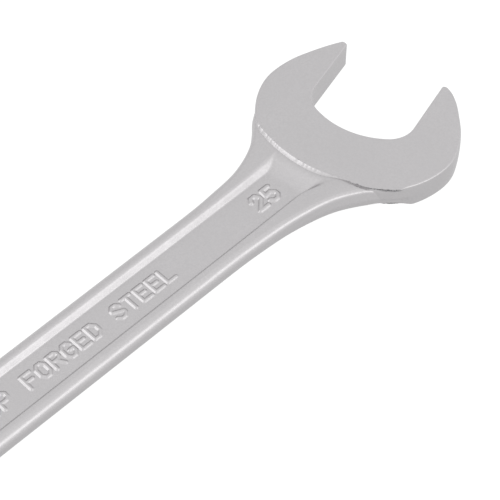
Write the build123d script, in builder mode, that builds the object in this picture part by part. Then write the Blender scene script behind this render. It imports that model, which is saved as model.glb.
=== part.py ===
from build123d import *
import os
from math import cos, radians, sin

# A 25 mm combination wrench: an open jaw at one end and a 12-point ring at the other,
# drop forged in one piece. The solids below are the regions of that one forging, and
# the characters that stand up from it.
# Millimetres and degrees. The origin is the axis of the nut in the open jaw, at half
# thickness. +X runs along the shank towards the open end, and +Z is up.

# ---- driving dimensions ----
NUT = 25.0              # across the nut's flats
NUT_CLEARANCE = 0.1     # added to the nut, across the flats
HEAD_THICKNESS = 6.7    # ground faces of the open head
JAW_ANGLE = 15.0        # the jaw's centre line to the shank's, in plan
JAW_REACH = 12.6        # nut axis back to where the two centre lines cross
THROAT_DEPTH = 14.5     # nut axis to the bottom of the throat
SHANK_THICKNESS = 4.9   # over the rims
SHANK_HALF = 8.6        # half the width where the neck begins
ROOT_HALF = 7.9         # half the width where the ring's root begins
NECK_START = -50.0      # where the shank begins to flare into the neck
ROOT_X = -205.0         # where the shank ends and the ring's root begins
PANEL_HALF = 4.7        # half the width of the recess's floor
PANEL_DEPTH = 1.35      # rim to floor
PANEL_WALL = 43.0       # lean of the recess's walls from upright
RING_DISTANCE = 254.0   # nut axis to ring axis, along X
RING_RADIUS = 18.75
RING_THICKNESS = 11.0
RING_TILT = 15.0        # the ring's plane to the shank's
MARK_HEIGHT = 0.4       # how far the characters stand up

# ---- worked out ----
OPENING_HALF = (NUT + NUT_CLEARANCE) / 2
HEAD_TOP = HEAD_THICKNESS / 2
RIM_TOP = SHANK_THICKNESS / 2
PANEL_FLOOR = RIM_TOP - PANEL_DEPTH
TILT_COS = cos(radians(RING_TILT))
TILT_SIN = sin(radians(RING_TILT))
CROSSING_X = -JAW_REACH * cos(radians(JAW_ANGLE))
CROSSING_Y = -JAW_REACH * sin(radians(JAW_ANGLE))

# The jaw is drawn about the nut's axis, with its own X out of the opening.
JAW = Plane.XY.rotated((0, 0, JAW_ANGLE))
# The shank is drawn from the point where the centre lines cross, with X along it.
SHANK = Plane(origin=(CROSSING_X, CROSSING_Y, 0))
SIDE = Plane(origin=(CROSSING_X, CROSSING_Y, 0), x_dir=(1, 0, 0), z_dir=(0, -1, 0))


# ---- open jaw head ----
TIP_RADIUS = 0.8
THROAT_CORNER = 6.5
THROAT_CHORD_X = -9.9       # where the throat's arc would meet the flats
LEFT_TIP = 11.0             # the jaws' sharp corners, before rounding
RIGHT_TIP = 9.1
HEAD_EDGE = 0.35            # small bevel around both ground faces
LEFT_CORNER = (-22.1, 19.2)
RIGHT_CORNER = (-23.5, -18.4)

with BuildPart() as open_jaw_head:
    with BuildSketch(JAW.offset(-HEAD_TOP)) as head_outline:
        with BuildLine():
            left_curve = Spline(
                (LEFT_TIP, OPENING_HALF),
                (7.05, 16.3),
                (3.5, 18.8),
                (-2.1, 22.0),
                (-9.5, 24.0),
                (-16.8, 22.5),
                LEFT_CORNER,
            )
            shoulder = Spline(
                left_curve @ 1,
                (-25.9, 11.7),
                (-28.0, 0),
                (-27.3, -9.6),
                (-26.1, -14.3),
                RIGHT_CORNER,
            )
            right_curve = Spline(
                shoulder @ 1,
                (-17.9, -22.6),
                (-11.0, -24.65),
                (-4.1, -23.2),
                (2.1, -19.9),
                (5.95, -17.15),
                (7.8, -15.2),
                (RIGHT_TIP, -OPENING_HALF),
            )
            throat = ThreePointArc(
                (THROAT_CHORD_X, -OPENING_HALF),
                (-THROAT_DEPTH, 0),
                (THROAT_CHORD_X, OPENING_HALF),
            )
            Line(right_curve @ 1, throat @ 0)
            Line(throat @ 1, left_curve @ 0)
        make_face()
        corners = head_outline.vertices()
        tips = corners.sort_by(Axis.X)[-2:]
        fillet(tips, TIP_RADIUS)
        throat_corners = [
            v
            for v in head_outline.vertices()
            if abs(v.X - THROAT_CHORD_X) < 0.01 and abs(abs(v.Y) - OPENING_HALF) < 0.01
        ]
        fillet(throat_corners, THROAT_CORNER)
    extrude(amount=HEAD_THICKNESS)
    faces = open_jaw_head.faces().filter_by(Axis.Z)
    chamfer(faces.edges(), HEAD_EDGE)
open_jaw_head.part.label = "open_jaw_head"


# ---- shank: rounded I-section bar that flares into the neck, as its web and two rims ----
NECK_RIM_TOP = 3.1      # the rims rise to this at the head
NECK_RISE_START = -40.0
EDGE_RADIUS = 2.0
CUT_HEIGHT = 40.0       # taller than the forging, for cuts and side profiles


def recess_tool():
    """The panel recess of the upper face: flared and ramped at the head, round at the ring."""
    flare_start = -21.0
    flare_half = 9.0
    flare_end = -14.5
    beyond = -8.0
    round_end = -196.0
    ramp_start = -24.5
    ramp_end_z = 2.4
    with BuildPart() as tool:
        with BuildSketch(SHANK.offset(PANEL_FLOOR)):
            with BuildLine():
                for side in (1, -1):
                    edge = Line((round_end, side * PANEL_HALF), (flare_start, side * PANEL_HALF))
                    flare = TangentArc(edge @ 1, (flare_end, side * flare_half), tangent=edge % 1)
                    Line(flare @ 1, (beyond, side * flare_half))
                Line((beyond, flare_half), (beyond, -flare_half))
                ThreePointArc(
                    (round_end, PANEL_HALF),
                    (round_end - PANEL_HALF, 0),
                    (round_end, -PANEL_HALF),
                )
            make_face()
        extrude(amount=2 * PANEL_DEPTH, taper=-PANEL_WALL)
        with BuildSketch(SIDE):
            with BuildLine():
                ramp = TangentArc((ramp_start, PANEL_FLOOR), (beyond, ramp_end_z), tangent=(1, 0))
                Line(ramp @ 1, (0, ramp_end_z))
                Line((0, ramp_end_z), (0, 0))
                Line((0, 0), (ramp_start, 0))
                Line((ramp_start, 0), ramp @ 0)
            make_face()
        extrude(amount=CUT_HEIGHT, both=True, mode=Mode.SUBTRACT)
    return tool.part


recess = recess_tool()

with BuildPart() as shank:
    with BuildSketch(SHANK.offset(-CUT_HEIGHT / 2)):
        with BuildLine():
            left_side = Line((ROOT_X, ROOT_HALF), (NECK_START, SHANK_HALF))
            left_neck = Spline(
                left_side @ 1,
                (-36.0, 8.85),
                (-26.4, 9.95),
                (-19.4, 12.95),
                (-14.6, 16.3),
                (-10.0, 17.2),
                tangents=(left_side % 1, (1, 0.0)),
            )
            right_side = Line((ROOT_X, -ROOT_HALF), (NECK_START, -SHANK_HALF))
            right_neck = Spline(
                right_side @ 1,
                (-38.6, -8.85),
                (-26.3, -10.15),
                (-18.0, -12.4),
                (-10.5, -16.0),
                (-3.0, -18.0),
                tangents=(right_side % 1, (1, -0.1)),
            )
            Line(left_neck @ 1, right_neck @ 1)
            Line(left_side @ 0, right_side @ 0)
        make_face()
    extrude(amount=CUT_HEIGHT)
    with BuildSketch(SIDE):
        with BuildLine():
            flat = Line((ROOT_X, RIM_TOP), (NECK_RISE_START, RIM_TOP))
            rise = TangentArc(flat @ 1, (0, NECK_RIM_TOP), tangent=(1, 0))
            Line(rise @ 1, (0, 0))
            Line((0, 0), (ROOT_X, 0))
            Line((ROOT_X, 0), flat @ 0)
        make_face()
        mirror(about=Plane.XZ)
    extrude(amount=CUT_HEIGHT, both=True, mode=Mode.INTERSECT)
    long_edges = [
        e
        for e in shank.edges()
        if abs(e.center().Z) > RIM_TOP / 2
        and abs(e.center().Y - CROSSING_Y) > ROOT_HALF / 2
        and e.bounding_box().size.X > 1
    ]
    fillet(long_edges, EDGE_RADIUS)
    add(recess, mode=Mode.SUBTRACT)
    add(recess.mirror(Plane.XY), mode=Mode.SUBTRACT)
    with BuildSketch(JAW.offset(-CUT_HEIGHT / 2)):
        add(head_outline.sketch_local)
    extrude(amount=CUT_HEIGHT, mode=Mode.SUBTRACT)


WEB_HALF = 4.5              # just inside the feet of the recess's walls
OUTER = 30.0                # beyond both sides of the neck
ROOT_WEB_END = -195.5       # the recess's round end is before this
NECK_WEB_START = -25.0      # the recess's ramp is after this
NECK_RIM_START = -52.0
NECK_END = 0.0


def shank_region(label, start, end, right, left):
    """The shank between two distances along it, and between two to the left of its centre line."""
    with BuildPart() as region:
        add(shank.part)
        with BuildSketch(SHANK.offset(-CUT_HEIGHT / 2)):
            with Locations((start, right)):
                Rectangle(end - start, left - right, align=(Align.MIN, Align.MIN))
        extrude(amount=CUT_HEIGHT, mode=Mode.INTERSECT)
    region.part.label = label
    return region.part


shank_regions = [
    shank_region("root_web", ROOT_X, ROOT_WEB_END, -WEB_HALF, WEB_HALF),
    shank_region("shank_web", ROOT_WEB_END, NECK_WEB_START, -WEB_HALF, WEB_HALF),
    shank_region("neck_web", NECK_WEB_START, NECK_END, -WEB_HALF, WEB_HALF),
    shank_region("shank_left_rim", ROOT_X, NECK_RIM_START, WEB_HALF, OUTER),
    shank_region("neck_left_rim", NECK_RIM_START, NECK_END, WEB_HALF, OUTER),
    shank_region("shank_right_rim", ROOT_X, NECK_RIM_START, -OUTER, -WEB_HALF),
    shank_region("neck_right_rim", NECK_RIM_START, NECK_END, -OUTER, -WEB_HALF),
]


# ---- ring head: tilted 12-point ring and the root that carries it ----
RING_EDGE = 1.0
ROOT_FILLET = 0.8       # where the root meets the ring's outer wall
SOCKET_LEAD = 0.6       # conical lead-in at both mouths of the socket
RING_X = -RING_DISTANCE
# The ring's lower near corner is level with the underside of the open head.
RING_Z = (RING_RADIUS - RING_EDGE) * TILT_SIN + RING_THICKNESS / 2 * TILT_COS - HEAD_TOP
RING = Plane(
    origin=(RING_X, CROSSING_Y, RING_Z),
    x_dir=(TILT_COS, 0, -TILT_SIN),
    z_dir=(TILT_SIN, 0, TILT_COS),
)
SOCKET_HALF = (NUT + NUT_CLEARANCE) / 2
SOCKET_POINT = SOCKET_HALF / cos(radians(30))

# The root's sections: distance along X or from the ring's axis, half width, half thickness.
ROOT_BEND = Plane(
    origin=(CROSSING_X - 214.5, CROSSING_Y, 0.35),
    x_dir=(0, 1, 0),
    z_dir=(cos(radians(6)), 0, -sin(radians(6))),
)
ROOT_START = Plane(origin=(CROSSING_X + ROOT_X, CROSSING_Y, 0), x_dir=(0, 1, 0), z_dir=(1, 0, 0))


def ring_section(distance):
    """A plane across the ring's own X, at a distance from its axis."""
    middle = RING.from_local_coords((distance, 0, 0))
    return Plane(origin=middle, x_dir=(0, 1, 0), z_dir=RING.x_dir)


with BuildPart() as ring_head:
    with BuildSketch(ROOT_START):
        RectangleRounded(2 * ROOT_HALF, SHANK_THICKNESS, EDGE_RADIUS)
    with BuildSketch(ROOT_BEND):
        RectangleRounded(2 * 8.3, 5.4, 2.1)
    with BuildSketch(ring_section(RING_RADIUS + 1.5)):
        RectangleRounded(2 * 9.9, 6.8, 2.3)
    with BuildSketch(ring_section(RING_RADIUS - 3.5)):
        RectangleRounded(2 * 10.7, 8.2, 2.5)
    loft()
    with BuildSketch(RING.offset(-RING_THICKNESS / 2)):
        Circle(RING_RADIUS)
    extrude(amount=RING_THICKNESS)
    crease = [
        e
        for e in ring_head.edges()
        if all(
            abs(Vector(p.X, p.Y).length - RING_RADIUS) < 0.01
            and abs(p.Z) < RING_THICKNESS / 2 - 0.01
            and p.X > 0
            for p in (RING.to_local_coords(e @ t) for t in (0.1, 0.5, 0.9))
        )
    ]
    fillet(crease, ROOT_FILLET)
    rims = [
        e
        for e in ring_head.edges().filter_by(GeomType.CIRCLE)
        if abs(e.radius - RING_RADIUS) < 0.01
        and abs(RING.to_local_coords(e).center().Z) > RING_THICKNESS / 2 - 0.01
    ]
    chamfer(rims, RING_EDGE)
    with BuildSketch(RING.offset(-RING_THICKNESS)):
        for turn in (0, 30):
            RegularPolygon(SOCKET_HALF, 6, major_radius=False, rotation=turn)
    extrude(amount=2 * RING_THICKNESS, mode=Mode.SUBTRACT)
    for face_offset, direction in ((RING_THICKNESS / 2, -1), (-RING_THICKNESS / 2, 1)):
        with BuildSketch(RING.offset(face_offset)):
            Circle(SOCKET_POINT)
        extrude(amount=direction * SOCKET_LEAD, taper=45, mode=Mode.SUBTRACT)
ring_head.part.label = "ring_head"


# ---- raised characters on the recess floors ----
SIZE_MARK_X = -27.6
GRADE_MARK_X = -83.8
SIZE_LETTERS = 3.85     # height of the strokes' centre lines
GRADE_LETTERS = 3.6
SIZE_STROKE = 0.9
GRADE_STROKE = 0.7
LETTER_WIDTH = 0.62     # of the height
LETTER_GAP = 0.32
UPPER_FLOOR = Plane(origin=(CROSSING_X, CROSSING_Y, PANEL_FLOOR))
# The lower floor is read from below, with the open end still on the reader's right.
LOWER_FLOOR = Plane(origin=(CROSSING_X, CROSSING_Y, -PANEL_FLOOR), x_dir=(1, 0, 0), z_dir=(0, 0, -1))

# Each character is strokes, and each stroke a run of points in a box one unit wide and high.
BOWL = [(0.3, 0), (0, 0.25), (0, 0.75), (0.3, 1), (0.7, 1)]
CROOK = [(0, 0), (0, 1), (0.75, 1), (1, 0.85)]
HOOK = [(1, 0.2), (0.7, 0), (0.3, 0), (0, 0.18)]
CROSSBAR = [(0, 0.52), (0.8, 0.52)]
STROKES = {
    "D": [[(0, 0), (0, 1), (0.6, 1), (1, 0.7), (1, 0.3), (0.6, 0), (0, 0)]],
    "E": [[(1, 0), (0, 0), (0, 1), (1, 1)], CROSSBAR],
    "F": [[(0, 0), (0, 1), (1, 1)], CROSSBAR],
    "G": [[(0.6, 0.48), (1, 0.48), (1, 0.25), (0.7, 0)] + BOWL + [(1, 0.8)]],
    "L": [[(0, 1), (0, 0), (1, 0)]],
    "O": [BOWL + [(1, 0.75), (1, 0.25), (0.7, 0), (0.3, 0)]],
    "P": [CROOK + [(1, 0.6), (0.75, 0.45), (0, 0.45)]],
    "R": [CROOK + [(1, 0.65), (0.75, 0.5), (0, 0.5)], [(0.5, 0.5), (1, 0)]],
    "S": [[(1, 0.8), (0.7, 1), (0.3, 1), (0, 0.8), (0, 0.65), (1, 0.35)] + HOOK],
    "T": [[(0.5, 0), (0.5, 1)], [(0, 1), (1, 1)]],
    "2": [[(0, 0.75), (0.25, 1), (0.75, 1), (1, 0.75), (1, 0.6), (0, 0), (1, 0)]],
    "5": [[(0.95, 1), (0.1, 1), (0, 0.56), (0.65, 0.62), (1, 0.42)] + HOOK],
}


def raised_mark(floor, words, distance, height, stroke_width):
    """Characters of rounded strokes that stand up from a recess floor, centred on the shank."""
    pitch = height * (LETTER_WIDTH + LETTER_GAP)
    start = distance - (len(words) * pitch - height * LETTER_GAP) / 2
    with BuildPart() as mark:
        with BuildSketch(floor):
            for place, letter in enumerate(words):
                left = start + place * pitch
                for stroke in STROKES.get(letter, []):
                    points = [
                        Vector(left + x * height * LETTER_WIDTH, (y - 0.5) * height)
                        for x, y in stroke
                    ]
                    for a, b in zip(points, points[1:]):
                        SlotCenterPoint((a + b) / 2, b, stroke_width)
        extrude(amount=MARK_HEIGHT)
    return mark.part


upper_size_mark = raised_mark(UPPER_FLOOR, "25", SIZE_MARK_X, SIZE_LETTERS, SIZE_STROKE)
upper_size_mark.label = "upper_size_mark"
upper_grade_mark = raised_mark(
    UPPER_FLOOR, "DROP FORGED STEEL", GRADE_MARK_X, GRADE_LETTERS, GRADE_STROKE
)
upper_grade_mark.label = "upper_grade_mark"
lower_size_mark = raised_mark(LOWER_FLOOR, "25", SIZE_MARK_X, SIZE_LETTERS, SIZE_STROKE)
lower_size_mark.label = "lower_size_mark"


os.makedirs("parts", exist_ok=True)
export_step(open_jaw_head.part, "parts/open_jaw_head.step")
for region in shank_regions:
    export_step(region, f"parts/{region.label}.step")
export_step(ring_head.part, "parts/ring_head.step")
export_step(upper_size_mark, "parts/upper_size_mark.step")
export_step(upper_grade_mark, "parts/upper_grade_mark.step")
export_step(lower_size_mark, "parts/lower_size_mark.step")
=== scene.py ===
from math import atan2, cos, pi, radians, sin, tan

import bmesh
import bpy
import numpy as np
from mathutils import Matrix, Vector


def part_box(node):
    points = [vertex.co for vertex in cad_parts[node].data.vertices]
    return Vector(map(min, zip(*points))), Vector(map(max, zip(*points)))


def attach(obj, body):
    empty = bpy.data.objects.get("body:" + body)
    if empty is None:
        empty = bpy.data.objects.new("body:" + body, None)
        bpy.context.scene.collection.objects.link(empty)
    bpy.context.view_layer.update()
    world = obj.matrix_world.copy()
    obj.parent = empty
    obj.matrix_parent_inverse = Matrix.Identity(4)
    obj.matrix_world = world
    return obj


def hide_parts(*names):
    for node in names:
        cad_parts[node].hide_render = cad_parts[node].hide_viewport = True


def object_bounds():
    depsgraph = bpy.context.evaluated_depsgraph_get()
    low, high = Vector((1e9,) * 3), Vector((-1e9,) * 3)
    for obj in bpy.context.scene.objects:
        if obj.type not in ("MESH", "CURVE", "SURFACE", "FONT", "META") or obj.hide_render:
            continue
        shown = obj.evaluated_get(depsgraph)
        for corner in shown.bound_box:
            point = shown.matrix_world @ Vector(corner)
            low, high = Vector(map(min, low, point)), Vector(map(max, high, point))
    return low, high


# The looks of a 25 mm combination wrench in satin chrome. The forging's regions are
# remade here as fine meshes on the CAD part's dimensions: the open jaw head with its
# ground faces and shoulder, the shank with its recessed panel, and the raised
# characters. The ring end keeps its CAD mesh. Lengths are millimetres in the CAD part's
# frame until a mesh is made.

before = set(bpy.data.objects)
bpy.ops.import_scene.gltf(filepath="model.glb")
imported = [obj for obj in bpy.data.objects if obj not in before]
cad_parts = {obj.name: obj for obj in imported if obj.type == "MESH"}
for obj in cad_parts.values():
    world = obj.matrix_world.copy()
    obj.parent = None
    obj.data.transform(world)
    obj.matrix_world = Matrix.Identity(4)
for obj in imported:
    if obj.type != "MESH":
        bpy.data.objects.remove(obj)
cad_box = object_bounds()
MM = 0.001

# ---- dimensions of the CAD part ----
HEAD_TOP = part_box("open_jaw_head")[1].z / MM
ROOT_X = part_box("root_web")[0].x / MM
PANEL_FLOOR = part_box("upper_size_mark")[0].z / MM
OPENING_HALF = 12.55
JAW_ANGLE = radians(15.0)
JAW_REACH = 12.6
RIM_TOP = 2.45
CROSSING = np.array((-JAW_REACH * cos(JAW_ANGLE), -JAW_REACH * sin(JAW_ANGLE)))

# ---- plane geometry ----
SPAN_POINTS = 30        # points to a span of a curve, to an arc, and to a rounded corner
ARC_POINTS = 120
BRIDGE_POINTS = 40
CUT_STEP = 0.02         # spacing that a line is cut to
LEAST_BRIDGE = 0.05     # a corner narrower or straighter than this is left as it is
LEAST_TURN = 0.01
EASE_SAMPLES = 9


def from_jaw(points):
    """Points drawn about the nut's axis, X out of the jaw, in the part's frame."""
    x, y = np.asarray(points, float).T
    return np.column_stack(
        [x * cos(JAW_ANGLE) - y * sin(JAW_ANGLE), x * sin(JAW_ANGLE) + y * cos(JAW_ANGLE)]
    )


def fade(value, start, end):
    """0 up to start and 1 past end, smooth between; end may be the smaller one."""
    t = np.clip((value - start) / (end - start), 0, 1)
    return t * t * (3 - 2 * t)


def eased_ramp(value, soft):
    """0 to 1 in a straight line, with both ends rounded over a length of soft."""
    shifts = np.linspace(-soft / 2, soft / 2, EASE_SAMPLES)
    return np.mean([np.clip(value + s, 0, 1) for s in shifts], axis=0)


def rounded_climb(value):
    """0 to 1 from a sharp foot, straight at first and rounded over at the top."""
    t = np.clip(value, 0, 1)
    return np.where(t < 0.5, t, t - (t - 0.5)**2) * 4 / 3


def resample(line, spacing):
    """The same line with evenly spaced points."""
    walked = np.concatenate([[0], np.cumsum(np.linalg.norm(np.diff(line, axis=0), axis=1))])
    stops = np.linspace(0, walked[-1], max(2, round(walked[-1] / spacing) + 1))
    return np.column_stack([np.interp(stops, walked, line[:, k]) for k in (0, 1)])


def smooth_curve(points, start=None):
    """A smooth dense line through a few points, from the direction start if given."""
    p = np.array(points, float)
    gaps = np.linalg.norm(np.diff(p, axis=0), axis=1)[:, None]
    slopes = np.diff(p, axis=0) / gaps
    share = gaps[1:] / (gaps[:-1] + gaps[1:])
    inner = slopes[:-1] * share + slopes[1:] * (1 - share)
    first = 2 * slopes[0] - inner[0] if start is None else np.array(start, float)
    tangents = np.vstack([first, inner, 2 * slopes[-1] - inner[-1]])
    t = np.linspace(0, 1, SPAN_POINTS, endpoint=False)[:, None]
    spans = [
        (2 * t**3 - 3 * t**2 + 1) * a + (t**3 - 2 * t**2 + t) * gap * u
        + (3 * t**2 - 2 * t**3) * b + (t**3 - t**2) * gap * v
        for a, b, u, v, gap in zip(p, p[1:], tangents, tangents[1:], gaps)
    ]
    return np.vstack(spans + [p[-1:]])


def circle_through(a, b, c):
    """Centre and radius of the circle through three points."""
    a, b, c = (np.array(p, float) for p in (a, b, c))
    rows = np.array([b - a, c - a])
    centre = np.linalg.solve(2 * rows, [b @ b - a @ a, c @ c - a @ a])
    return centre, np.linalg.norm(a - centre)


def arc(centre, radius, start, end):
    """A dense arc between two points on it, the short way round."""
    first = atan2(*(np.asarray(start) - centre)[::-1])
    turn = (atan2(*(np.asarray(end) - centre)[::-1]) - first + pi) % (2 * pi) - pi
    angles = first + turn * np.linspace(0, 1, ARC_POINTS)
    return centre + radius * np.column_stack([np.cos(angles), np.sin(angles)])


def cut_back(line, trims):
    """The line without its first and last lengths of trims."""
    fine = resample(line, CUT_STEP)
    first, last = (round(trim / CUT_STEP) for trim in trims)
    return fine[first:len(fine) - last]


def join_rounded(runs, trims):
    """One closed line of the runs, each corner cut back by its trim and bridged."""
    parts = [cut_back(run, (trims[k - 1], trims[k])) for k, run in enumerate(runs)]
    closed = []
    for part, after in zip(parts, parts[1:] + parts[:1]):
        closed.append(part)
        a, b = part[-1], after[0]
        u = part[-1] - part[-2]
        v = after[1] - after[0]
        u, v = u / np.linalg.norm(u), v / np.linalg.norm(v)
        turn = np.arccos(np.clip(u @ v, -1, 1))
        if np.linalg.norm(b - a) < LEAST_BRIDGE or turn < LEAST_TURN:
            continue
        reach = np.linalg.norm(b - a) / (2 * sin(turn / 2)) * 4 / 3 * tan(turn / 4)
        t = np.linspace(0, 1, BRIDGE_POINTS)[1:-1, None]
        closed.append(
            (1 - t)**3 * a + 3 * t * (1 - t)**2 * (a + reach * u)
            + 3 * t**2 * (1 - t) * (b - reach * v) + t**3 * b
        )
    return np.vstack(closed + [closed[0][:1]])


def outward(line):
    """Unit normals out of a closed line that runs anticlockwise."""
    along = np.roll(line, -1, axis=0) - np.roll(line, 1, axis=0)
    along /= np.linalg.norm(along, axis=1)[:, None]
    return np.column_stack([along[:, 1], -along[:, 0]])


# ---- meshes ----
def joined_loops(loops):
    """Points and faces of a closed body: quads between closed loops, and a face at each end."""
    rows, size = len(loops), len(loops[0])
    starts = np.arange(rows - 1)[:, None] * size
    here = starts + np.arange(size)
    after = starts + (np.arange(size) + 1) % size
    quads = np.stack([here, after, after + size, here + size], -1)
    ends = [list(range(size)), list(range((rows - 1) * size, rows * size))]
    return np.vstack(loops), quads.reshape(-1, 4).tolist() + ends


def make_piece(name, points, faces, material, node_names, attributes=None):
    """A closed smooth mesh that stands for CAD nodes and rides on the one body."""
    mesh = bpy.data.meshes.new(name)
    mesh.from_pydata((np.asarray(points) * MM).tolist(), [], faces)
    for label, values in (attributes or {}).items():
        layer = mesh.attributes.new(label, "FLOAT", "POINT")
        layer.data.foreach_set("value", np.asarray(values, np.float32))
    work = bmesh.new()
    work.from_mesh(mesh)
    bmesh.ops.recalc_face_normals(work, faces=work.faces)
    work.to_mesh(mesh)
    work.free()
    mesh.shade_smooth()
    mesh.materials.append(material)
    piece = bpy.data.objects.new(name, mesh)
    bpy.context.scene.collection.objects.link(piece)
    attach(piece, "root")
    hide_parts(*node_names)
    return piece


# ---- materials ----
CHROME_TONE = (0.562, 0.549, 0.557)
CHROME_ROUGHNESS = 0.36
PALE_SHARE = 1.02       # the plating's tone drifts between these shares of it
DEEP_SHARE = 0.975
SPECKLE_SHARE = 0.94    # and is speckled with this one
ROUGHNESS_DRIFT = 0.02
DRIFT_SIZE = 14.0       # sizes of the noises, in millimetres
SPECKLE_SIZE = 0.45
ROUGHNESS_SIZE = 2.5
# Painted shade for the crevice at the shoulder's foot: the size of the noise that breaks it up, its
# dark tone, and how dark it stays where faintest.
CREVICE_SHADE_SIZE = 0.35
CREVICE_SHADE_TONE = (0.09, 0.09, 0.095)
CREVICE_SHADE_LEAST = 0.35       # how dark the painted crevice shade stays where it is faintest
NOISE_RANGE = (0.3, 0.7)


def satin_chrome(name, grain, ripple, painted_shade=None):
    """Satin chrome over steel: fine blasted grain, slow ripple, and a tone that drifts a little.

    grain and ripple are a size and a height in millimetres. The last argument names a mesh
    attribute that is 1 where a dark painted shade, broken up by noise, stands in for the shadow in the
    crevice at the shoulder's foot.
    """
    material = bpy.data.materials.new(name)
    material.use_nodes = True
    nodes = material.node_tree.nodes
    links = material.node_tree.links
    shader = nodes["Principled BSDF"]
    shader.inputs["Metallic"].default_value = 1.0
    place = nodes.new("ShaderNodeTexCoord").outputs["Object"]

    def noise(size, detail):
        node = nodes.new("ShaderNodeTexNoise")
        node.inputs["Scale"].default_value = 1 / (size * MM)
        node.inputs["Detail"].default_value = detail
        links.new(place, node.inputs["Vector"])
        return node.outputs["Fac"]

    def spread(value, low, high):
        node = nodes.new("ShaderNodeMapRange")
        node.inputs["From Min"].default_value = NOISE_RANGE[0]
        node.inputs["From Max"].default_value = NOISE_RANGE[1]
        node.inputs["To Min"].default_value = low
        node.inputs["To Max"].default_value = high
        links.new(value, node.inputs["Value"])
        return node.outputs["Result"]

    def mixed(share, first, second):
        # Sockets 6 and 7 are the node's two colours, and output 2 is the mixed one.
        node = nodes.new("ShaderNodeMix")
        node.data_type = "RGBA"
        for socket, value in ((node.inputs[6], first), (node.inputs[7], second)):
            if isinstance(value, bpy.types.NodeSocket):
                links.new(value, socket)
            else:
                socket.default_value = (*value, 1)
        links.new(share, node.inputs[0])
        return node.outputs[2]

    pale, deep, speckle = (
        [c * share for c in CHROME_TONE] for share in (PALE_SHARE, DEEP_SHARE, SPECKLE_SHARE)
    )
    tone = mixed(spread(noise(DRIFT_SIZE, 3), 0, 1), deep, pale)
    tone = mixed(spread(noise(SPECKLE_SIZE, 2), 0, 1), tone, speckle)
    rough = spread(
        noise(ROUGHNESS_SIZE, 3), CHROME_ROUGHNESS - ROUGHNESS_DRIFT, CHROME_ROUGHNESS + ROUGHNESS_DRIFT
    )
    # Painted shade: where the named attribute is 1 the tone goes dark, broken up by noise, in place of
    # the crevice's shadow.
    if painted_shade:
        layer = nodes.new("ShaderNodeAttribute")
        layer.attribute_name = painted_shade
        shade_share = nodes.new("ShaderNodeMath")
        shade_share.operation = "MULTIPLY"
        links.new(layer.outputs["Fac"], shade_share.inputs[0])
        links.new(spread(noise(CREVICE_SHADE_SIZE, 1), CREVICE_SHADE_LEAST, 1.0), shade_share.inputs[1])
        tone = mixed(shade_share.outputs[0], tone, CREVICE_SHADE_TONE)
    links.new(tone, shader.inputs["Base Color"])
    links.new(rough, shader.inputs["Roughness"])

    height = None
    for size, depth in (grain, ripple):
        bump = nodes.new("ShaderNodeBump")
        bump.inputs["Distance"].default_value = depth * MM
        bump.inputs["Strength"].default_value = 1.0
        links.new(noise(size, 2), bump.inputs["Height"])
        if height is not None:
            links.new(height, bump.inputs["Normal"])
        height = bump.outputs["Normal"]
    links.new(height, shader.inputs["Normal"])
    return material


# The head's chrome carries painted shade in the crevice where the shoulder meets the neck, read from a
# mesh attribute.
ground_chrome = satin_chrome("ground_chrome", (0.30, 0.014), (2.5, 0.004), painted_shade="crevice_shade")
forged_chrome = satin_chrome("forged_chrome", (0.40, 0.018), (3.0, 0.015))


# ---- open jaw head ----
LEFT_TIP = 11.3
RIGHT_TIP = 9.0
LEFT_CORNER = (-22.1, 19.2)
RIGHT_CORNER = (-23.5, -18.4)
LEFT_OUTLINE = [
    (LEFT_TIP, OPENING_HALF),
    (7.0, 16.25),
    (3.5, 18.75),
    (-2.1, 22.0),
    (-9.5, 23.85),
    (-16.8, 22.4),
    LEFT_CORNER,
]
RIGHT_OUTLINE = [
    RIGHT_CORNER,
    (-17.9, -22.55),
    (-11.0, -24.55),
    (-4.1, -23.15),
    (2.1, -19.8),
    (5.89, -17.07),
    (7.68, -15.2),
    (RIGHT_TIP, -OPENING_HALF),
]
SHOULDER_MIDDLE = (-28.0, 0.0)
SHOULDER_RIGHT = (-22.4, -18.7)     # on the arc, before its right side is moved out
SHOULDER_BULGE = 1.1
THROAT_CHORD_X = -9.9
THROAT_DEPTH = 14.5
THROAT_CORNER = 6.5
OUTLINE_STEP = 0.18
CORNER_TRIMS = (1.0, 1.8, 1.25, 2.75)   # left corner, right corner, right tip, left tip
HEAD_EDGE = 0.32        # rounding around both ground faces, and how deep it goes
FLAT_EDGE = 0.2         # the same inside the opening
FLAT_BAND = 0.6         # over this distance outside the opening the one becomes the other
SHOULDER_EDGE = 0.25    # share of the rounding that the shoulder has
SIDE_CROWN = 0.18       # how much the side walls bulge at half thickness
FACE_RINGS = (0.3, 0.06)    # flat bands of the ground faces, in from the rounding
EDGE_RINGS = 6
SIDE_RINGS = 9

# How far from its arc a point still belongs to the shoulder, and to the tucked-in corner.
SHOULDER_NEAR = (0.7, 0.2)
TUCK_NEAR = (1.1, 0.1)
# The rest is in degrees round from the shoulder's middle, less than 0 to its right.
SHOULDER_SPAN = 45
TUCK_SPAN = 60
BULGE_IN = (-8, -22)
TUCK_IN = (-8, -18)
GENTLE_IN = (-13, -1)
LEFT_END = (37, 29)
RIGHT_END = (-34, -24)
# The painted shade in the crevice at the shoulder's foot lies between these, and grows deeper between
# the last two.
CREVICE_SHADE_IN = (-7, -23)
CREVICE_SHADE_END = (-33, -29)
CREVICE_SHADE_DEEPER_IN = (-22, -28)

TUCK = 1.5              # how far the lower right corner is drawn in, over this height
TUCK_HEIGHT = 1.5
STEEP_RUN = 0.15        # how far the shoulder runs out for each millimetre that it drops
GENTLE_RUN = 0.75       # and how much farther where it is gentle
SLOPE_DEPTH = 1.0
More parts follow.
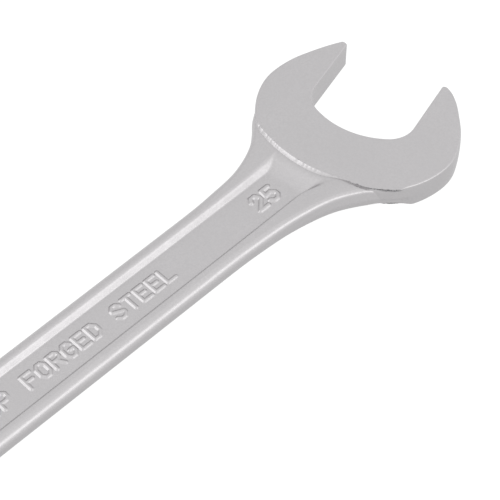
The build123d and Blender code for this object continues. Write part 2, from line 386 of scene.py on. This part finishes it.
# The painted crevice shade reaches this far down the shoulder, and this much farther on its right.
CREVICE_SHADE_DEPTH = 0.14
CREVICE_SHADE_DEEPER = 0.2
RAGGED = 0.05           # roughness of the shoulder's edge, which ends at this depth
RAGGED_END = (0.8, 0.4)
RAGGED_SEED = 25
SHOULDER_CENTRE, SHOULDER_RADIUS = circle_through(LEFT_CORNER, SHOULDER_MIDDLE, SHOULDER_RIGHT)


def shoulder_reach(turned):
    """Distance from the arc's centre to the shoulder, degrees round from its middle."""
    return SHOULDER_RADIUS + SHOULDER_BULGE * fade(turned, *BULGE_IN)


def round_shoulder(line):
    """Degrees round from the shoulder's middle, and distance from its centre."""
    away = line - SHOULDER_CENTRE
    return np.degrees(np.arctan2(away[:, 1], -away[:, 0])), np.linalg.norm(away, axis=1)


def opening_outline():
    """The jaw's opening from the right tip to the left one: flats, corners and throat."""
    centre, radius = circle_through(
        (THROAT_CHORD_X, OPENING_HALF), (-THROAT_DEPTH, 0), (THROAT_CHORD_X, -OPENING_HALF)
    )
    # The corner's circle touches the flat and, from inside, the throat's arc.
    drop = OPENING_HALF - THROAT_CORNER
    corner_x = centre[0] - np.sqrt((radius - THROAT_CORNER)**2 - drop**2)
    corner = np.array((corner_x, drop))
    touch = centre + (corner - centre) / np.linalg.norm(corner - centre) * radius
    upper = arc(corner, THROAT_CORNER, touch, (corner_x, OPENING_HALF))
    lower = (upper * (1, -1))[::-1]
    throat = arc(centre, radius, touch * (1, -1), touch)
    right_flat = np.array([(RIGHT_TIP, -OPENING_HALF), (corner_x, -OPENING_HALF)])
    left_flat = np.array([(corner_x, OPENING_HALF), (LEFT_TIP, OPENING_HALF)])
    return np.vstack([right_flat, lower[1:], throat[1:], upper[1:], left_flat[1:]])


def head_outline():
    """The closed outline of the ground faces, about the nut's axis."""
    shoulder = arc(SHOULDER_CENTRE, SHOULDER_RADIUS, LEFT_CORNER, RIGHT_CORNER)
    turned, reach = round_shoulder(shoulder)
    stretch = shoulder_reach(turned) / reach
    shoulder = SHOULDER_CENTRE + (shoulder - SHOULDER_CENTRE) * stretch[:, None]
    runs = [smooth_curve(LEFT_OUTLINE), shoulder, smooth_curve(RIGHT_OUTLINE), opening_outline()]
    return resample(join_rounded(runs, CORNER_TRIMS), OUTLINE_STEP)[:-1]


def head_levels():
    """Height and inset of each ring of the head, from the upper ground face to the lower."""
    turn = np.linspace(0, pi / 2, EDGE_RINGS)
    flat = [(HEAD_TOP, HEAD_EDGE + band) for band in FACE_RINGS]
    edge = [(HEAD_TOP - HEAD_EDGE * (1 - cos(a)), HEAD_EDGE * (1 - sin(a))) for a in turn]
    side = [(z, 0.0) for z in np.linspace(HEAD_TOP - HEAD_EDGE, 0, SIDE_RINGS)[1:-1]]
    half = flat + edge + side
    return half + [(0.0, 0.0)] + [(-z, inset) for z, inset in reversed(half)]


def make_head():
    """Ground faces, rounded edges, crowned side walls, and the shoulder's slope to the neck."""
    line = head_outline()
    normals = outward(line)
    turned, reach = round_shoulder(line)
    off_arc = np.abs(reach - shoulder_reach(turned))
    on_arc = fade(off_arc, *SHOULDER_NEAR) * (np.abs(turned) < SHOULDER_SPAN)
    in_opening = line[:, 0] > -THROAT_DEPTH - 1
    inside = fade(np.abs(line[:, 1]) - OPENING_HALF, FLAT_BAND, 0) * in_opening
    edge_share = 1 - (1 - FLAT_EDGE / HEAD_EDGE) * inside
    # Below the middle the shoulder's right side is drawn in to the neck.
    near_arc = fade(off_arc, *TUCK_NEAR) * (np.abs(turned) < TUCK_SPAN)
    tucked = TUCK * near_arc * fade(turned, *TUCK_IN)
    # The shoulder slopes gently on the left and stands steep on the right.
    slope_run = on_arc * (STEEP_RUN + GENTLE_RUN * fade(turned, *GENTLE_IN))
    deepest = SLOPE_DEPTH * fade(turned, *LEFT_END) * fade(turned, *RIGHT_END)
    # Painted shade: a dark band along the crevice on the shoulder's right, where the neck meets the
    # head. It stands in for the crevice's shadow.
    crevice_shade = on_arc * fade(turned, *CREVICE_SHADE_IN) * fade(turned, *CREVICE_SHADE_END)
    crevice_shade_depth = CREVICE_SHADE_DEPTH + CREVICE_SHADE_DEEPER * fade(turned, *CREVICE_SHADE_DEEPER_IN)
    jitter = np.random.default_rng(RAGGED_SEED).normal(0, 1, len(line))
    jitter = np.concatenate([jitter[-1:], jitter, jitter[:1]])
    ragged = np.convolve(jitter, [0.25, 0.5, 0.25], "valid") * on_arc * RAGGED

    rings, crevice_shade_rings = [], []
    for z, inset in head_levels():
        level = abs(z)
        drop = HEAD_TOP - level
        off_face = inset <= HEAD_EDGE
        crown = SIDE_CROWN * (level / HEAD_TOP)**2 * (1 - on_arc) * (1 - inside)
        rounding = inset * (1 - (1 - SHOULDER_EDGE) * on_arc)
        if off_face:
            rounding = rounding * edge_share
        shift = slope_run * np.clip(drop, 0, deepest) - crown - rounding
        shift = shift - tucked * fade(z, 0, -TUCK_HEIGHT)
        if off_face:
            shift = shift + ragged * fade(drop, *RAGGED_END)
        ring = from_jaw(line + normals * shift[:, None])
        rings.append(np.column_stack([ring, np.full(len(ring), z)]))
        shaded_ring = off_face and drop < HEAD_TOP
        # The painted shade covers the rings down to about its depth below the ground face, but not the
        # middle ring.
        crevice_shade_rings.append(crevice_shade * fade(drop, 2 * crevice_shade_depth, crevice_shade_depth) * shaded_ring)
    points, faces = joined_loops(rings)
    attributes = {"crevice_shade": np.concatenate(crevice_shade_rings)}
    return make_piece(
        "open_jaw_forging", points, faces, ground_chrome, ["open_jaw_head"], attributes
    )


# ---- shank ----
SHANK_REGIONS = [
    "root_web",
    "shank_web",
    "neck_web",
    "shank_left_rim",
    "neck_left_rim",
    "shank_right_rim",
    "neck_right_rim",
]
NECK_START = -50.0
ROOT_END = -190.0
SHANK_HALF = 8.6
ROOT_HALF = 7.9
LEFT_NECK = [
    (NECK_START, SHANK_HALF),
    (-36.0, 8.85),
    (-26.4, 9.95),
    (-19.4, 12.93),
    (-15.3, 16.2),
    (-14.0, 17.5),
    (-12.2, 18.9),
    (-10.4, 19.6),
]
RIGHT_NECK = [
    (NECK_START, -SHANK_HALF),
    (-38.6, -8.85),
    (-26.3, -10.15),
    (-18.0, -12.4),
    (-10.0, -17.05),
    (-6.0, -20.0),
    (-3.0, -21.8),
    (0.0, -22.9),
    (2.2, -22.9),
]
NECK_TAPER = 0.0045     # slope of each edge where the neck starts
EDGE_RADIUS = 2.0
EDGE_SHARPENING = 1.0   # in the neck the upper edge gets this much sharper
NECK_LEAN = radians(10)     # and the sides lean in to it
SHARPEN_LENGTH = 34.0
LOWER_RISE = 0.4        # the lower rims rise this share of the upper ones' rise

RISE_LENGTH = 26.0      # the rims rise to the head over this length
LEFT_RISE = 0.2
RIGHT_RISE = 0.55       # more on the right, between these distances from the middle
RIGHT_RISE_IN = (-2, -12)
GROOVE_DEPTH = 0.3
GROOVE_HALF = 0.8
GROOVE_IN = (-8, -15)

PANEL_HALF = 4.7
LEFT_LEAN = 1.6         # how far the recess's walls lean outward
RIGHT_LEAN = 0.8
PANEL_ROUND_END = -196.0
RAMP_LENGTH = 4.4       # the recess's floor climbs to the rims over this length
RAMP_END = 1.6          # and reaches them this far short of the shoulder
RAMP_BEND = 1.5
RAMP_SOFT = 0.3
WALL_SOFT = 0.4
LEFT_FLARE = 0.5        # how much the left wall moves out, between these gaps to the shoulder
LEFT_FLARE_IN = (14, 3)
LEFT_FOOT_BEND = 0.8
LEAST_WALL = 0.15
RIGHT_FLARE = 1.4       # how much the right wall's foot moves out, and its lean grows
RIGHT_LEAN_FLARE = 0.8
RIGHT_FLARE_LENGTH = 8.0

ROOT_STATIONS = 46
PLAIN_STATIONS = 71
NECK_STATIONS = 130
SIDE_STEPS = 4
TURN_STEPS = 11
RIM_COLUMNS = 4
WALL_COLUMNS = 18
FLOOR_COLUMNS = 26
WALL_OUTER = PANEL_HALF + LEFT_LEAN + 1.3   # the fine columns for the walls lie between these
WALL_INNER = PANEL_HALF - 0.4
LEAST_RIM = 0.05
# Seen from the shank's origin, the shoulder's circle is centred here.
SHOULDER_X, SHOULDER_Y = (from_jaw([SHOULDER_CENTRE]) - CROSSING)[0]


def before_shoulder(x, y):
    """How far a point is short of the shoulder's arc."""
    dx, dy = np.asarray(x) - SHOULDER_X, np.asarray(y) - SHOULDER_Y
    turned = np.degrees(np.arctan2(dy, -dx) + JAW_ANGLE)
    return np.hypot(dx, dy) - shoulder_reach(turned)


def rim_height(x, y, share=1.0):
    """The rims are level along the shank and rise to the head, most on its right.

    On the right a fine groove runs along the foot of the shoulder. share scales both.
    """
    gap = before_shoulder(x, y)
    rise = fade(gap, RISE_LENGTH, 0) * (LEFT_RISE + RIGHT_RISE * fade(y, *RIGHT_RISE_IN))
    groove = GROOVE_DEPTH * fade(np.abs(gap), GROOVE_HALF, 0) * fade(y, *GROOVE_IN)
    return RIM_TOP + share * (rise - groove)


def panel_height(x, y):
    """The recessed face: a level floor, leaning walls, and a floor that ramps up to the head."""
    gap = before_shoulder(x, y)
    rim = rim_height(x, y)
    ramp = eased_ramp(1 - (gap - RAMP_END) / RAMP_LENGTH, RAMP_SOFT)**RAMP_BEND
    floor = PANEL_FLOOR + (rim - PANEL_FLOOR) * ramp
    left_top = PANEL_HALF + LEFT_LEAN + LEFT_FLARE * fade(gap, *LEFT_FLARE_IN)
    left_wall = np.maximum((left_top - PANEL_HALF) * (1 - ramp)**LEFT_FOOT_BEND, LEAST_WALL)
    flare = fade(gap, RIGHT_FLARE_LENGTH, 0)
    right_foot = PANEL_HALF + RIGHT_FLARE * flare
    right_wall = RIGHT_LEAN + RIGHT_LEAN_FLARE * flare
    foot = np.where(y > 0, left_top - left_wall, right_foot)
    across = np.hypot(np.minimum(x - PANEL_ROUND_END, 0), y)
    climb = (across - foot) / np.where(y > 0, left_wall, right_wall)
    wall = np.where(y > 0, rounded_climb(climb), eased_ramp(climb, WALL_SOFT))
    return floor + (rim - floor) * wall


def side_profile(height, radius, lean):
    """Distance in from the widest line, and height, up a drafted side and round its edge."""
    climb = (height - radius + radius * sin(lean)) / cos(lean)
    inset = climb * sin(lean) + radius * cos(lean)
    turn = np.linspace(lean, pi / 2, TURN_STEPS)
    edge = np.column_stack([inset - radius * np.cos(turn), height - radius + radius * np.sin(turn)])
    up = np.linspace(0, 1, SIDE_STEPS, endpoint=False)[:, None]
    return np.vstack([up * edge[0], edge])


def shank_stations():
    """Left and right edge points of each cross-section, in the shank's frame."""
    root = ROOT_X - CROSSING[0]
    near_root = np.linspace(root, ROOT_END, ROOT_STATIONS)
    plain = np.linspace(ROOT_END, NECK_START, PLAIN_STATIONS)[1:]
    straight = np.concatenate([near_root, plain])
    half = np.interp(straight, [root, NECK_START], [ROOT_HALF, SHANK_HALF])
    edges = []
    for points, side in ((LEFT_NECK, 1), (RIGHT_NECK, -1)):
        neck = smooth_curve(points, start=(1, side * NECK_TAPER))
        length = np.linalg.norm(np.diff(neck, axis=0), axis=1).sum()
        neck = resample(neck, length / NECK_STATIONS)[: NECK_STATIONS + 1]
        edges.append(np.vstack([np.column_stack([straight, side * half]), neck[1:]]))
    return edges


def panel_columns(start_y, across_y, first, last):
    """Distances across from the left edge, fine over the recess's walls, from first to last."""
    left_out, left_in, right_in, right_out = (
        (start_y - y) / -across_y for y in (WALL_OUTER, WALL_INNER, -WALL_INNER, -WALL_OUTER)
    )
    left_out = max(left_out, first + LEAST_RIM)
    right_out = min(right_out, last - LEAST_RIM)
    return np.concatenate(
        [
            np.linspace(first, left_out, RIM_COLUMNS)[1:-1],
            np.linspace(left_out, left_in, WALL_COLUMNS),
            np.linspace(left_in, right_in, FLOOR_COLUMNS)[1:-1],
            np.linspace(right_in, right_out, WALL_COLUMNS),
            np.linspace(right_out, last, RIM_COLUMNS)[1:-1],
        ]
    )


def half_section(start, across, width, sides, middle, share):
    """The points of a cross-section's upper half, from its left edge to its right one."""
    left, right = sides
    walked = np.concatenate([left[:, 0], middle, width - right[::-1, 0]])
    walked = np.maximum.accumulate(walked)
    x, y = (start + walked[:, None] * across).T
    level = rim_height(x, y, share)
    top = np.minimum(panel_height(x, y), level)
    count = len(left)
    top[:count] = np.minimum(top[:count], left[:, 1] * level[:count] / left[-1, 1])
    top[-count:] = np.minimum(top[-count:], right[::-1, 1] * level[-count:] / right[-1, 1])
    return np.column_stack([np.column_stack([x, y]) + CROSSING, top])


def cross_section(a, b, u, v):
    """A closed loop between edge points a and b, whose edge lines run along u and v."""
    width = np.linalg.norm(b - a)
    across = (b - a) / width
    sharpen = fade(a[0], NECK_START, NECK_START + SHARPEN_LENGTH)

    def sides(share, radius):
        both = []
        for point, tangent in ((a, u), (b, v)):
            skew = abs(tangent[0] * across[1] - tangent[1] * across[0])
            profile = side_profile(rim_height(*point, share), radius, NECK_LEAN * sharpen)
            both.append(profile / (skew, 1))
        return both

    upper_sides = sides(1.0, EDGE_RADIUS - EDGE_SHARPENING * sharpen)
    lower_sides = sides(LOWER_RISE, EDGE_RADIUS)
    middle = panel_columns(a[1], across[1], upper_sides[0][-1, 0], width - upper_sides[1][-1, 0])
    upper = half_section(a, across, width, upper_sides, middle, 1.0)
    lower = half_section(a, across, width, lower_sides, middle, LOWER_RISE) * (1, 1, -1)
    return np.vstack([upper, lower[-2:0:-1]])


def make_shank():
    """Cross-sections from the ring's root to just inside the head, joined edge to edge."""
    edges = shank_stations()
    along = [np.gradient(edge, axis=0) for edge in edges]
    along = [a / np.linalg.norm(a, axis=1)[:, None] for a in along]
    points, faces = joined_loops([cross_section(*station) for station in zip(*edges, *along)])
    return make_piece("shank_forging", points, faces, forged_chrome, SHANK_REGIONS)


# ---- raised characters ----
SIZE_WORDS = "25"
SIZE_MARK_X = -27.6
SIZE_LETTERS = 3.85
SIZE_STYLE = (0.48, 0.7, 0.39)      # half a stroke's width, its slope's width, and the height
GRADE_WORDS = "DROP FORGED STEEL"
GRADE_MARK_X = -83.8
GRADE_LETTERS = 3.6
GRADE_STYLE = (0.38, 0.65, 0.34)
LETTER_WIDTH = 0.62
LETTER_GAP = 0.32
MARK_SUNK = 0.03        # the slope's foot is this far under the floor
CELL = 0.1

# Each character is strokes, and each stroke a run of points in a box one unit wide and high.
BOWL = [(0.3, 0), (0, 0.25), (0, 0.75), (0.3, 1), (0.7, 1)]
CROOK = [(0, 0), (0, 1), (0.75, 1), (1, 0.85)]
HOOK = [(1, 0.2), (0.7, 0), (0.3, 0), (0, 0.18)]
CROSSBAR = [(0, 0.52), (0.8, 0.52)]
STROKES = {
    "D": [[(0, 0), (0, 1), (0.6, 1), (1, 0.7), (1, 0.3), (0.6, 0), (0, 0)]],
    "E": [[(1, 0), (0, 0), (0, 1), (1, 1)], CROSSBAR],
    "F": [[(0, 0), (0, 1), (1, 1)], CROSSBAR],
    "G": [[(0.6, 0.48), (1, 0.48), (1, 0.25), (0.7, 0)] + BOWL + [(1, 0.8)]],
    "L": [[(0, 1), (0, 0), (1, 0)]],
    "O": [BOWL + [(1, 0.75), (1, 0.25), (0.7, 0), (0.3, 0)]],
    "P": [CROOK + [(1, 0.6), (0.75, 0.45), (0, 0.45)]],
    "R": [CROOK + [(1, 0.65), (0.75, 0.5), (0, 0.5)], [(0.5, 0.5), (1, 0)]],
    "S": [[(1, 0.8), (0.7, 1), (0.3, 1), (0, 0.8), (0, 0.65), (1, 0.35)] + HOOK],
    "T": [[(0.5, 0), (0.5, 1)], [(0, 1), (1, 1)]],
    "2": [[(0, 0.75), (0.25, 1), (0.75, 1), (1, 0.75), (1, 0.6), (0, 0), (1, 0)]],
    "5": [[(0.95, 1), (0.1, 1), (0, 0.56), (0.65, 0.62), (1, 0.42)] + HOOK],
}


def stroke_distance(x, y, strokes):
    """Distance from each point to the nearest stroke's centre line."""
    nearest = np.full(x.shape, np.inf)
    for stroke in strokes:
        for a, b in zip(stroke, stroke[1:]):
            a, b = np.array(a), np.array(b)
            length = (b - a) @ (b - a)
            t = np.clip(((x - a[0]) * (b - a)[0] + (y - a[1]) * (b - a)[1]) / length, 0, 1)
            nearest = np.minimum(
                nearest, np.hypot(x - a[0] - t * (b - a)[0], y - a[1] - t * (b - a)[1])
            )
    return nearest


def character_mesh(letter, left, height, stroke_half, soft, raised_by):
    """Points and quads of one raised character with soft slopes, on a fine square grid."""
    width = height * LETTER_WIDTH
    strokes = [
        [(left + px * width, (py - 0.5) * height) for px, py in stroke] for stroke in STROKES[letter]
    ]
    margin = stroke_half + soft
    xs = np.arange(left - margin, left + width + margin, CELL)
    ys = np.arange(-height / 2 - margin, height / 2 + margin, CELL)
    x, y = np.meshgrid(xs, ys, indexing="ij")
    distance = stroke_distance(x, y, strokes)
    raised = fade(distance, stroke_half + soft / 2, stroke_half - soft / 2)
    top = PANEL_FLOOR - MARK_SUNK + (raised_by + MARK_SUNK) * raised
    kept = distance < stroke_half + soft / 2 + CELL
    cells = kept[:-1, :-1] & kept[1:, :-1] & kept[:-1, 1:] & kept[1:, 1:]
    used = np.zeros(kept.shape, bool)
    for dx in (0, 1):
        for dy in (0, 1):
            used[dx:dx + cells.shape[0], dy:dy + cells.shape[1]] |= cells
    number = np.full(kept.shape, -1)
    number[used] = np.arange(used.sum())
    i, j = np.nonzero(cells)
    upper = np.stack([number[i, j], number[i + 1, j], number[i + 1, j + 1], number[i, j + 1]], -1)
    low = used.sum()
    faces = upper.tolist() + (upper[:, ::-1] + low).tolist()
    edges = dict.fromkeys(
        (a, b) for quad in upper.tolist() for a, b in zip(quad, quad[1:] + quad[:1])
    )
    faces += [[b, a, a + low, b + low] for a, b in edges if (b, a) not in edges]
    points = np.column_stack([x[used], y[used], top[used]])
    base = np.column_stack([x[used], y[used], np.full(low, PANEL_FLOOR - 2 * MARK_SUNK)])
    return np.vstack([points, base]), faces


def make_mark(name, node, words, distance, height, style, underside=False):
    """Characters centred on the shank, read from above or, on the underside, from below."""
    pitch = height * (LETTER_WIDTH + LETTER_GAP)
    start = distance - (len(words) * pitch - height * LETTER_GAP) / 2
    points, faces = [], []
    count = 0
    for place, letter in enumerate(words):
        if letter == " ":
            continue
        part, quads = character_mesh(letter, start + place * pitch, height, *style)
        points.append(part)
        faces += [[v + count for v in quad] for quad in quads]
        count += len(part)
    points = np.vstack(points)
    if underside:
        points = points * (1, -1, -1)
    points[:, :2] += CROSSING
    return make_piece(name, points, faces, forged_chrome, [node])


size_mark = (SIZE_WORDS, SIZE_MARK_X, SIZE_LETTERS, SIZE_STYLE)
grade_mark = (GRADE_WORDS, GRADE_MARK_X, GRADE_LETTERS, GRADE_STYLE)
make_head()
make_shank()
make_mark("size_mark_raised", "upper_size_mark", *size_mark)
make_mark("grade_mark_raised", "upper_grade_mark", *grade_mark)
make_mark("underside_size_mark_raised", "lower_size_mark", *size_mark, underside=True)
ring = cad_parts["ring_head"]
ring.data.materials.clear()
ring.data.materials.append(forged_chrome)


# ---- floor, light and camera ----
FLOOR_SIZE = 3.0
FLOOR_GAP = 0.02        # keeps the floor clear of the head's underside
FLOOR_TONE = 0.12       # the floor's own tone is low, and its glow makes it pale
FLOOR_GLOW = 0.96
LIGHT_DISTANCE = 0.9
# The lights' directions, sizes and powers.
RIGHT_LIGHT = ((0.06, -0.85, 0.5), (0.95, 0.4), 1.1)
LEFT_LIGHT = ((-0.72, 0.45, 0.52), (0.5, 0.4), 0.65)
# The surroundings' glow, and where it changes: along the bright side's direction and up.
BRIGHT_SIDE = (-0.25, -0.79, 0.56)
WALL_SPREAD = (-0.3, 0.4)
WALL_GLOW = (0.91, 1.09)
TABLE_SPREAD = (-1.0, -0.1)
TABLE_GLOW = (0.82, 1.0)
HORIZON = (-0.1, 0.25)
CAMERA_PLACE = Vector((-0.19622, -0.15756, 0.27161))
CAMERA_AZIMUTH = 45.43
CAMERA_DOWN = 52.76
CAMERA_ROLL = -0.28
CAMERA_LENS = 115.2
SENSOR = 36.0


def make_floor():
    """A pale sheet under the part, bright enough to stay white beside it."""
    mesh = bpy.data.meshes.new("floor")
    half = FLOOR_SIZE / 2
    level = cad_box[0][2] - FLOOR_GAP * MM
    mesh.from_pydata(
        [(-half, -half, level), (half, -half, level), (half, half, level), (-half, half, level)],
        [],
        [(0, 1, 2, 3)],
    )
    floor = bpy.data.objects.new("floor", mesh)
    bpy.context.scene.collection.objects.link(floor)
    paint = bpy.data.materials.new("floor_white")
    paint.use_nodes = True
    shader = paint.node_tree.nodes["Principled BSDF"]
    shader.inputs["Base Color"].default_value = (FLOOR_TONE, FLOOR_TONE, FLOOR_TONE, 1)
    shader.inputs["Roughness"].default_value = 1.0
    shader.inputs["Specular IOR Level"].default_value = 0.0
    shader.inputs["Emission Color"].default_value = (1, 1, 1, 1)
    shader.inputs["Emission Strength"].default_value = FLOOR_GLOW
    mesh.materials.append(paint)
    floor.visible_glossy = False


def make_light(name, direction, size, power):
    """A soft rectangular light that looks at the part from one direction."""
    lamp = bpy.data.lights.new(name, "AREA")
    lamp.shape = "RECTANGLE"
    lamp.size = size[0]
    lamp.size_y = size[1]
    lamp.energy = power
    light = bpy.data.objects.new(name, lamp)
    towards = Vector(direction).normalized()
    light.location = towards * LIGHT_DISTANCE
    light.rotation_euler = towards.to_track_quat("Z", "Y").to_euler()
    bpy.context.scene.collection.objects.link(light)


def make_surroundings():
    """White studio walls, brighter on one side, over a table that is greyest straight below."""
    world = bpy.data.worlds.new("studio")
    bpy.context.scene.world = world
    world.use_nodes = True
    nodes = world.node_tree.nodes
    links = world.node_tree.links
    direction = nodes.new("ShaderNodeTexCoord").outputs["Generated"]
    split = nodes.new("ShaderNodeSeparateXYZ")
    links.new(direction, split.inputs[0])
    sideways = nodes.new("ShaderNodeVectorMath")
    sideways.operation = "DOT_PRODUCT"
    sideways.inputs[1].default_value = BRIGHT_SIDE
    links.new(direction, sideways.inputs[0])

    def ramp(value, start, end, low, high):
        node = nodes.new("ShaderNodeMapRange")
        node.interpolation_type = "SMOOTHSTEP"
        node.inputs["From Min"].default_value = start
        node.inputs["From Max"].default_value = end
        node.inputs["To Min"].default_value = low
        node.inputs["To Max"].default_value = high
        links.new(value, node.inputs["Value"])
        return node.outputs["Result"]

    walls = ramp(sideways.outputs["Value"], *WALL_SPREAD, *WALL_GLOW)
    table = ramp(split.outputs["Z"], *TABLE_SPREAD, *TABLE_GLOW)
    above = ramp(split.outputs["Z"], *HORIZON, 0.0, 1.0)
    glow = nodes.new("ShaderNodeMix")
    links.new(above, glow.inputs[0])
    links.new(table, glow.inputs[2])
    links.new(walls, glow.inputs[3])
    nodes["Background"].inputs["Color"].default_value = (1, 1, 1, 1)
    links.new(glow.outputs[0], nodes["Background"].inputs["Strength"])


def make_camera():
    """Looks down on the open head from over the shank's right side."""
    data = bpy.data.cameras.new("camera")
    data.lens = CAMERA_LENS
    data.sensor_width = SENSOR
    camera = bpy.data.objects.new("camera", data)
    bpy.context.scene.collection.objects.link(camera)
    down = radians(CAMERA_DOWN)
    turn = radians(CAMERA_AZIMUTH)
    look = Vector((cos(down) * cos(turn), cos(down) * sin(turn), -sin(down)))
    aim = look.to_track_quat("-Z", "Y").to_matrix().to_4x4()
    camera.matrix_world = (
        Matrix.Translation(CAMERA_PLACE) @ aim @ Matrix.Rotation(radians(CAMERA_ROLL), 4, "Z")
    )
    bpy.context.scene.camera = camera


make_floor()
make_light("right_softbox", *RIGHT_LIGHT)
make_light("left_softbox", *LEFT_LIGHT)
make_surroundings()
make_camera()
bpy.context.scene.view_settings.view_transform = "Standard"
